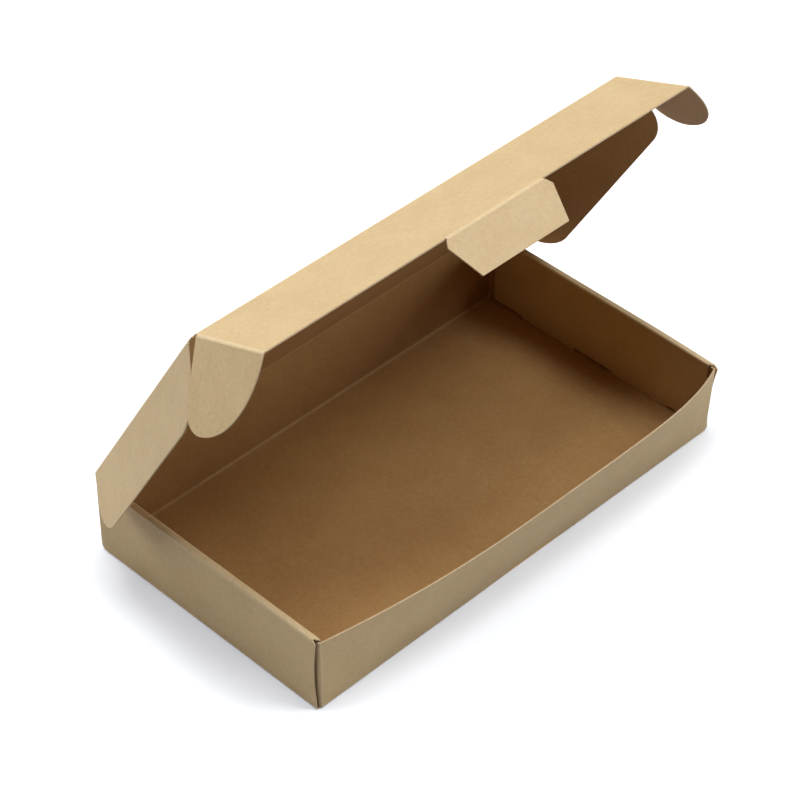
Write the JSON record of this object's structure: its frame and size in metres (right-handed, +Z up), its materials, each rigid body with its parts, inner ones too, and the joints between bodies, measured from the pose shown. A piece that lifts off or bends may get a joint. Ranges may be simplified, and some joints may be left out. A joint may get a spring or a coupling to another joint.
{
  "type": "folding mailer box",
  "caption": "Plain kraft card mailer box with a shallow tray, rolled side walls and an open hinged lid with side flaps, a tuck flap, ears and a lock tab.",
  "frame": {"origin": "middle of the underside of the tray's base, on the surface the box stands on", "axes": "+X along the box's long side, to the right for someone who faces the front wall; +Y from the front wall to the hinge; +Z up"},
  "size_m": [0.2108, 0.1073, 0.1299],
  "materials": {
    "kraft_card": "plain brown kraft card with fine fibres, paler along its creases and cut edges"
  },
  "bodies": {
    "tray": {"tray": "kraft_card"},
    "lid": {"lid_panel": "kraft_card"},
    "side_flap_left": {"lid_side_flap_left": "kraft_card"},
    "side_flap_right": {"lid_side_flap_right": "kraft_card"},
    "tuck": {"tuck_flap": "kraft_card"},
    "ear_left": {"tuck_ear_left": "kraft_card"},
    "ear_right": {"tuck_ear_right": "kraft_card"},
    "lock_tab": {"lock_tab": "kraft_card"}
  },
  "joints": [
    {"name": "lid_hinge", "type": "hinge", "parent": "tray", "child": "lid", "pos_m": [0, 0.04975, 0.0316], "axis": [-1, 0, 0], "range_deg": [-58.3, 120.7]},
    {"name": "side_flap_left_fold", "type": "hinge", "parent": "lid", "child": "side_flap_left", "pos_m": [-0.0906, 0.04975, 0.0316], "axis": [0, -0.5105, 0.8599], "range_deg": [-58.5, 31.5]},
    {"name": "side_flap_right_fold", "type": "hinge", "parent": "lid", "child": "side_flap_right", "pos_m": [0.0906, 0.04975, 0.0316], "axis": [0, 0.5105, -0.8599], "range_deg": [-64, 26]},
    {"name": "tuck_fold", "type": "hinge", "parent": "lid", "child": "tuck", "pos_m": [0, -0.00207, 0.11888], "axis": [1, 0, 0], "range_deg": [-39, 51]},
    {"name": "ear_left_fold", "type": "hinge", "parent": "tuck", "child": "ear_left", "pos_m": [-0.08925, -0.00207, 0.11888], "axis": [0, -0.9379, 0.3469], "range_deg": [-56, 34]},
    {"name": "ear_right_fold", "type": "hinge", "parent": "tuck", "child": "ear_right", "pos_m": [0.08925, -0.00207, 0.11888], "axis": [0, 0.9379, -0.3469], "range_deg": [-53, 37]},
    {"name": "lock_tab_fold", "type": "hinge", "parent": "tuck", "child": "lock_tab", "pos_m": [0.003, -0.03124, 0.12966], "axis": [1, 0, 0], "range_deg": [-51, 39]}
  ]
}
